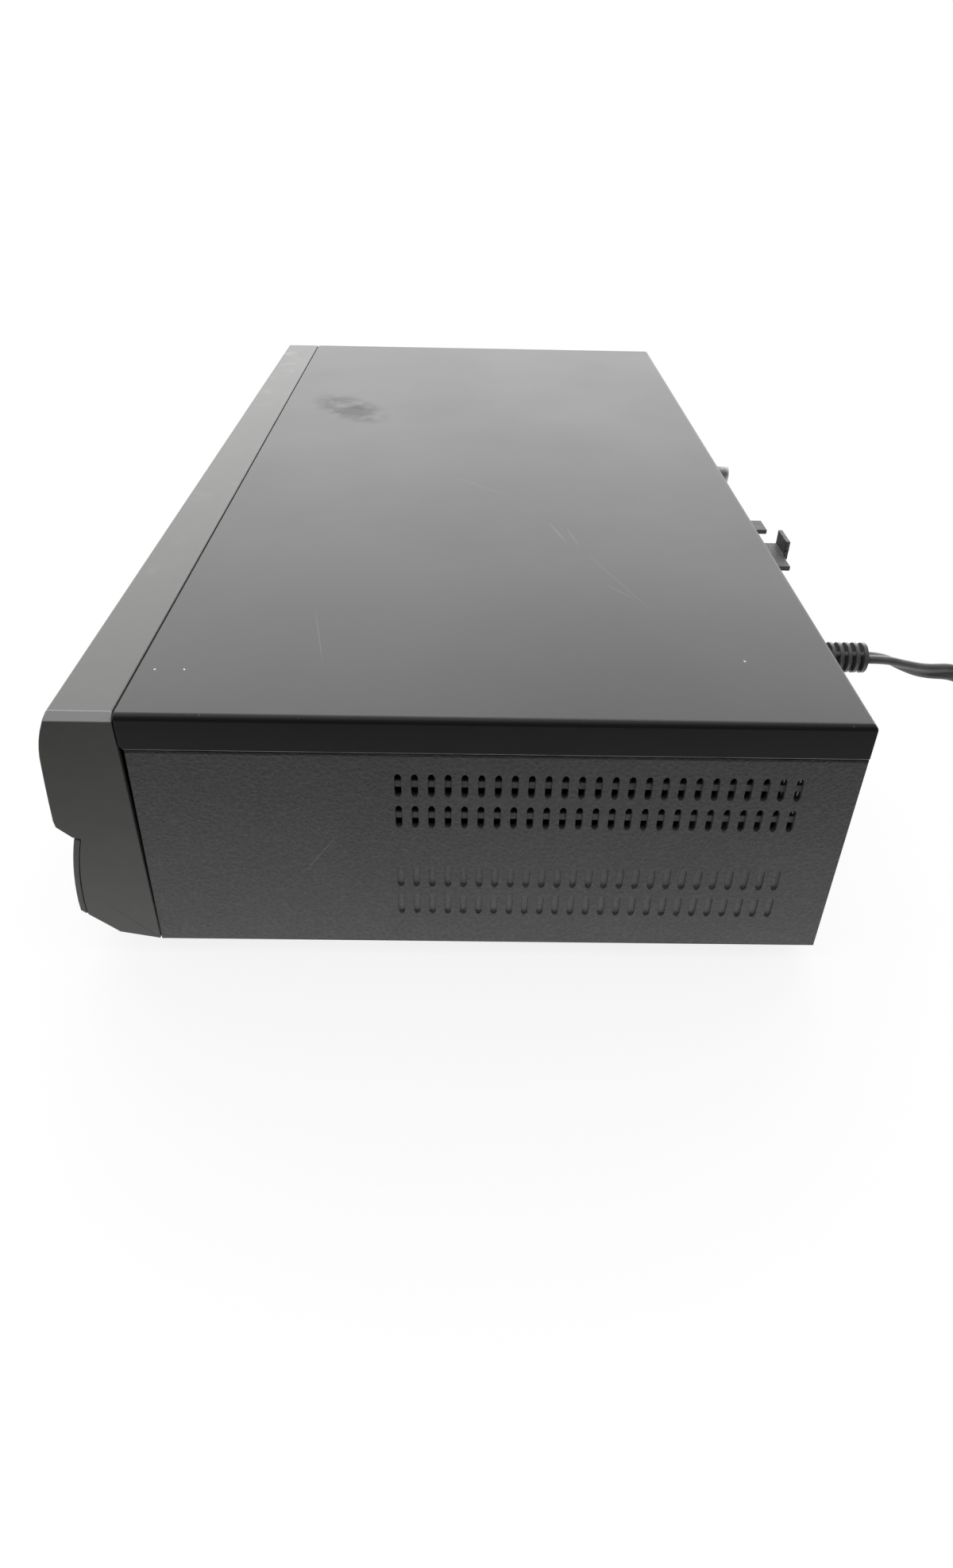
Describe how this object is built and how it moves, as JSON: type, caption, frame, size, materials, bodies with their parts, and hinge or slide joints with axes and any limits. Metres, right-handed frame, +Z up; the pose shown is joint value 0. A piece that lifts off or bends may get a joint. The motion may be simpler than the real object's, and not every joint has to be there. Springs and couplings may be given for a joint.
{
  "type": "video cassette recorder",
  "caption": "Full-width video cassette recorder with a folded black cover, vented sides, curved front with flap and keys, tape deck inside, sockets and flat cord behind.",
  "frame": {"origin": "middle of the machine's footprint on the surface under its feet, measured without the free cord", "axes": "+X along the front to the right as seen from the front, +Y from the front to the rear, +Z up"},
  "size_m": [0.4419, 0.4341, 0.094],
  "materials": {
    "cover_paint": "black satin paint on sheet steel",
    "case_plastic": "fine-textured dark grey moulding",
    "bezel_plastic": "smooth dark grey moulding",
    "door_plastic": "smooth dark grey moulding",
    "button_plastic": "satin grey moulding",
    "tinted_window": "glossy smoked moulding",
    "display_glass": "dark glass tube",
    "foot_rubber": "matte black",
    "cord_rubber": "flexible black covering",
    "black_screw": "blackened steel",
    "panel_steel": "dark painted sheet steel",
    "plated_steel": "zinc-plated sheet steel",
    "core_steel": "plain steel",
    "machined_aluminium": "turned aluminium",
    "head_metal": "polished metal",
    "guide_chrome": "polished metal",
    "jack_metal": "nickel plate",
    "circuit_board": "brown laminate",
    "can_sleeve": "shrunk dark blue sleeve",
    "reel_plastic": "black moulding",
    "gear_nylon": "off-white moulding",
    "roller_rubber": "ground black",
    "belt_rubber": "black"
  },
  "bodies": {
    "case": {"base_pan": "case_plastic", "feet": "foot_rubber", "right_side_panel": "case_plastic", "left_side_panel": "case_plastic", "top_cover": "cover_paint", "cover_screws": "black_screw", "rear_panel": "panel_steel", "cord_hook": "case_plastic", "strain_relief": "cord_rubber", "front_bezel": "bezel_plastic", "lower_trim": "bezel_plastic", "display_window": "tinted_window", "front_board": "circuit_board", "display_tube": "display_glass", "front_jacks": "jack_metal", "main_board": "circuit_board", "power_transformer": "core_steel", "capacitors": "can_sleeve", "heat_sink": "machined_aluminium", "tuner_module": "plated_steel", "rear_jacks": "jack_metal", "deck_plate": "plated_steel", "lower_drum": "machined_aluminium", "capstan_motor": "plated_steel", "drive_belt": "belt_rubber", "loading_motor": "core_steel", "erase_head": "head_metal", "control_head": "head_metal", "carriage_frame": "plated_steel", "power_cord": "cord_rubber", "cord_coil": "cord_rubber", "power_plug": "cord_rubber"},
    "control_door": {"control_door": "bezel_plastic"},
    "cassette_door": {"cassette_door": "door_plastic"},
    "upper_drum": {"upper_drum": "machined_aluminium"},
    "capstan": {"capstan": "core_steel"},
    "clutch_pulley": {"clutch_pulley": "reel_plastic"},
    "supply_reel": {"supply_reel": "reel_plastic"},
    "takeup_reel": {"takeup_reel": "reel_plastic"},
    "idler_arm": {"idler_arm": "plated_steel"},
    "idler_wheel": {"idler_wheel": "roller_rubber"},
    "cam_gear": {"cam_gear": "gear_nylon"},
    "loading_pinion": {"loading_pinion": "gear_nylon"},
    "supply_guide": {"supply_guide": "guide_chrome"},
    "takeup_guide": {"takeup_guide": "guide_chrome"},
    "pinch_arm": {"pinch_arm": "plated_steel"},
    "pinch_roller": {"pinch_roller": "roller_rubber"},
    "tension_arm": {"tension_arm": "plated_steel"},
    "sliders": {"carriage_sliders": "plated_steel"},
    "basket": {"cassette_basket": "plated_steel"},
    "power_button": {"power_button": "button_plastic"},
    "channel_down_button": {"channel_down_button": "button_plastic"},
    "channel_up_button": {"channel_up_button": "button_plastic"},
    "eject_button": {"eject_button": "button_plastic"},
    "rewind_button": {"rewind_button": "button_plastic"},
    "play_button": {"play_button": "button_plastic"},
    "fast_forward_button": {"fast_forward_button": "button_plastic"},
    "record_button": {"record_button": "button_plastic"},
    "stop_button": {"stop_button": "button_plastic"},
    "pause_button": {"pause_button": "button_plastic"}
  },
  "joints": [
    {"name": "cassette_door_hinge", "type": "hinge", "parent": "case", "child": "cassette_door", "pos_m": [-0.105, -0.12283, 0.0876], "axis": [1, 0, 0], "range_deg": [0, 103], "stiffness_Nm_per_rad": 0.002, "springref_deg": -34.38},
    {"name": "control_door_hinge", "type": "hinge", "parent": "case", "child": "control_door", "pos_m": [0.129, -0.12943, 0.01775], "axis": [1, 0, 0], "range_deg": [0, 90]},
    {"name": "power_press", "type": "slide", "parent": "case", "child": "power_button", "axis": [0, 1, 0], "range_m": [0, 0.0008], "stiffness_N_per_m": 300},
    {"name": "channel_down_press", "type": "slide", "parent": "case", "child": "channel_down_button", "axis": [0, 1, 0], "range_m": [0, 0.0008], "stiffness_N_per_m": 300},
    {"name": "channel_up_press", "type": "slide", "parent": "case", "child": "channel_up_button", "axis": [0, 1, 0], "range_m": [0, 0.0008], "stiffness_N_per_m": 300},
    {"name": "eject_press", "type": "slide", "parent": "case", "child": "eject_button", "axis": [0, 1, 0], "range_m": [0, 0.0008], "stiffness_N_per_m": 300},
    {"name": "rewind_press", "type": "slide", "parent": "case", "child": "rewind_button", "axis": [0, 1, 0], "range_m": [0, 0.0008], "stiffness_N_per_m": 300},
    {"name": "play_press", "type": "slide", "parent": "case", "child": "play_button", "axis": [0, 1, 0], "range_m": [0, 0.0008], "stiffness_N_per_m": 300},
    {"name": "fast_forward_press", "type": "slide", "parent": "case", "child": "fast_forward_button", "axis": [0, 1, 0], "range_m": [0, 0.0008], "stiffness_N_per_m": 300},
    {"name": "record_press", "type": "slide", "parent": "case", "child": "record_button", "axis": [0, 1, 0], "range_m": [0, 0.0008], "stiffness_N_per_m": 300},
    {"name": "stop_press", "type": "slide", "parent": "case", "child": "stop_button", "axis": [0, 1, 0], "range_m": [0, 0.0008], "stiffness_N_per_m": 300},
    {"name": "pause_press", "type": "slide", "parent": "case", "child": "pause_button", "axis": [0, 1, 0], "range_m": [0, 0.0008], "stiffness_N_per_m": 300},
    {"name": "carriage_slide", "type": "slide", "parent": "case", "child": "sliders", "axis": [0, 1, 0], "range_m": [0, 0.0624]},
    {"name": "basket_drop", "type": "slide", "parent": "sliders", "child": "basket", "axis": [0, 0, 1], "range_m": [-0.017, 0]},
    {"name": "drum_spin", "type": "hinge", "parent": "case", "child": "upper_drum", "pos_m": [-0.105, 0.05758, 0.0376], "axis": [-0.1038, 0, 0.9946], "continuous": true},
    {"name": "capstan_spin", "type": "hinge", "parent": "case", "child": "capstan", "pos_m": [-0.043, 0.03257, 0.0164], "axis": [0, 0, 1], "continuous": true},
    {"name": "clutch_spin", "type": "hinge", "parent": "case", "child": "clutch_pulley", "pos_m": [-0.105, -0.01243, 0.0164], "axis": [0, 0, 1], "continuous": true},
    {"name": "idler_swing", "type": "hinge", "parent": "case", "child": "idler_arm", "pos_m": [-0.105, -0.01243, 0.0374], "axis": [0, 0, 1], "range_deg": [-28, 28]},
    {"name": "idler_spin", "type": "hinge", "parent": "idler_arm", "child": "idler_wheel", "pos_m": [-0.105, -0.02973, 0.0359], "axis": [0, 0, 1], "continuous": true},
    {"name": "supply_reel_spin", "type": "hinge", "parent": "case", "child": "supply_reel", "pos_m": [-0.151, -0.03542, 0.0364], "axis": [0, 0, 1], "continuous": true},
    {"name": "takeup_reel_spin", "type": "hinge", "parent": "case", "child": "takeup_reel", "pos_m": [-0.059, -0.03542, 0.0364], "axis": [0, 0, 1], "continuous": true},
    {"name": "cam_turn", "type": "hinge", "parent": "case", "child": "cam_gear", "pos_m": [-0.177, 0.04258, 0.0264], "axis": [0, 0, 1], "range_deg": [0, 300]},
    {"name": "pinion_turn", "type": "hinge", "parent": "case", "child": "loading_pinion", "pos_m": [-0.177, 0.01257, 0.0264], "axis": [0, 0, 1], "range_deg": [-1200, 0]},
    {"name": "supply_guide_swing", "type": "hinge", "parent": "case", "child": "supply_guide", "pos_m": [-0.055, 0.04258, 0.0344], "axis": [0, 0, 1], "range_deg": [-30.4, 0]},
    {"name": "takeup_guide_swing", "type": "hinge", "parent": "case", "child": "takeup_guide", "pos_m": [-0.155, 0.04258, 0.0344], "axis": [0, 0, 1], "range_deg": [0, 30.4]},
    {"name": "pinch_swing", "type": "hinge", "parent": "case", "child": "pinch_arm", "pos_m": [-0.021, 0.03458, 0.0364], "axis": [0, 0, 1], "range_deg": [-25, 0]},
    {"name": "pinch_roller_spin", "type": "hinge", "parent": "pinch_arm", "child": "pinch_roller", "pos_m": [-0.03469, 0.01755, 0.039], "axis": [0, 0, 1], "continuous": true},
    {"name": "tension_swing", "type": "hinge", "parent": "case", "child": "tension_arm", "pos_m": [-0.185, 0.03257, 0.0364], "axis": [0, 0, 1], "range_deg": [0, 20], "stiffness_Nm_per_rad": 0.01, "springref_deg": -20.05}
  ],
  "couplings": [
    {"joint": "clutch_spin", "follows": "capstan_spin", "ratio": 0.64286},
    {"joint": "pinion_turn", "follows": "cam_turn", "ratio": -4},
    {"joint": "supply_guide_swing", "follows": "cam_turn", "ratio": -0.10133},
    {"joint": "takeup_guide_swing", "follows": "cam_turn", "ratio": 0.10133},
    {"joint": "pinch_swing", "follows": "cam_turn", "ratio": -0.083333}
  ]
}
